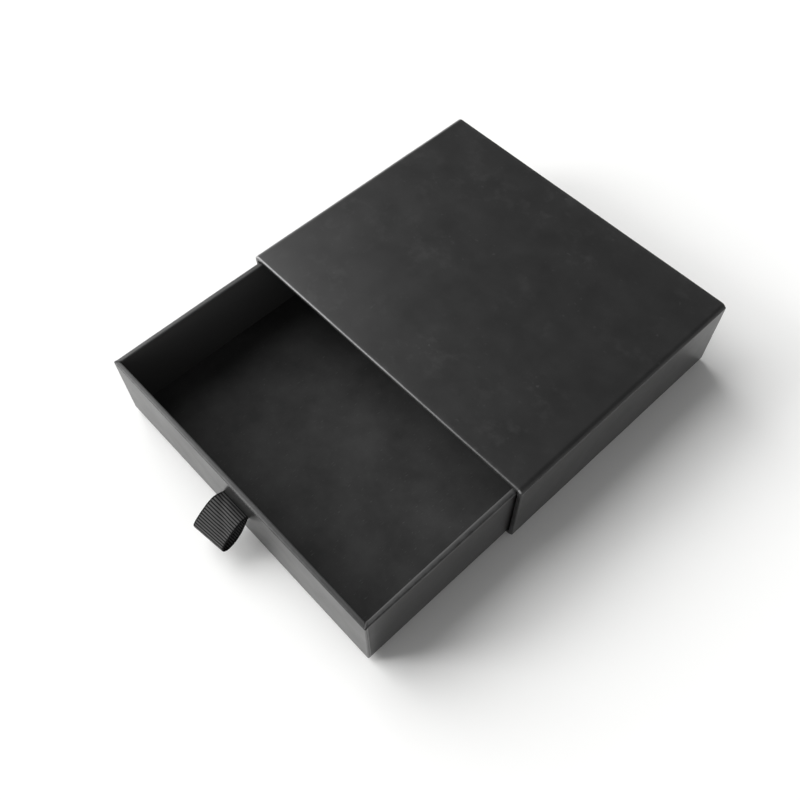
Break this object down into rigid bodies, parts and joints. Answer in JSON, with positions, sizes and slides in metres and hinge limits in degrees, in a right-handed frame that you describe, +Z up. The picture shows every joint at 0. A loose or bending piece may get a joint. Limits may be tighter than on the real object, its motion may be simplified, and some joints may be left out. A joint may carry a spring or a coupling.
{
  "type": "sliding drawer gift box",
  "caption": "Rigid paper-covered gift box: a flat sleeve closed at the back and a drawer that slides out on a ribbon pull.",
  "frame": {"origin": "centre of the sleeve's bottom face, which the box rests on", "axes": "+Z up, +X across the mouth, and the drawer comes out along -Y"},
  "size_m": [0.15, 0.2075, 0.038],
  "materials": {
    "greyboard": "uncoated grey board",
    "covering_paper": "satin-matte black paper",
    "lining_paper": "matte black paper",
    "stay_tape": "brown kraft tape",
    "ribbon": "black grosgrain"
  },
  "bodies": {
    "sleeve": {"sleeve_top_board": "greyboard", "sleeve_bottom_board": "greyboard", "sleeve_left_board": "greyboard", "sleeve_right_board": "greyboard", "sleeve_back_board": "greyboard", "sleeve_stays": "stay_tape", "sleeve_wrap": "covering_paper", "sleeve_back_sheet": "covering_paper", "sleeve_lining": "lining_paper", "sleeve_back_lining": "lining_paper"},
    "drawer": {"drawer_base_board": "greyboard", "drawer_front_board": "greyboard", "drawer_back_board": "greyboard", "drawer_left_board": "greyboard", "drawer_right_board": "greyboard", "drawer_stays": "stay_tape", "drawer_wrap": "covering_paper", "drawer_floor_lining": "lining_paper", "ribbon_tails": "ribbon", "ribbon_patch": "stay_tape"},
    "ribbon": {"ribbon_loop": "ribbon"}
  },
  "joints": [
    {"name": "drawer_slide", "type": "slide", "parent": "sleeve", "child": "drawer", "axis": [0, -1, 0], "range_m": [-0.072, 0.06]},
    {"name": "ribbon_swing", "type": "hinge", "parent": "drawer", "child": "ribbon", "pos_m": [0, -0.13279, 0.0186], "axis": [-1, 0, 0], "range_deg": [-30, 75], "stiffness_Nm_per_rad": 0.002}
  ]
}
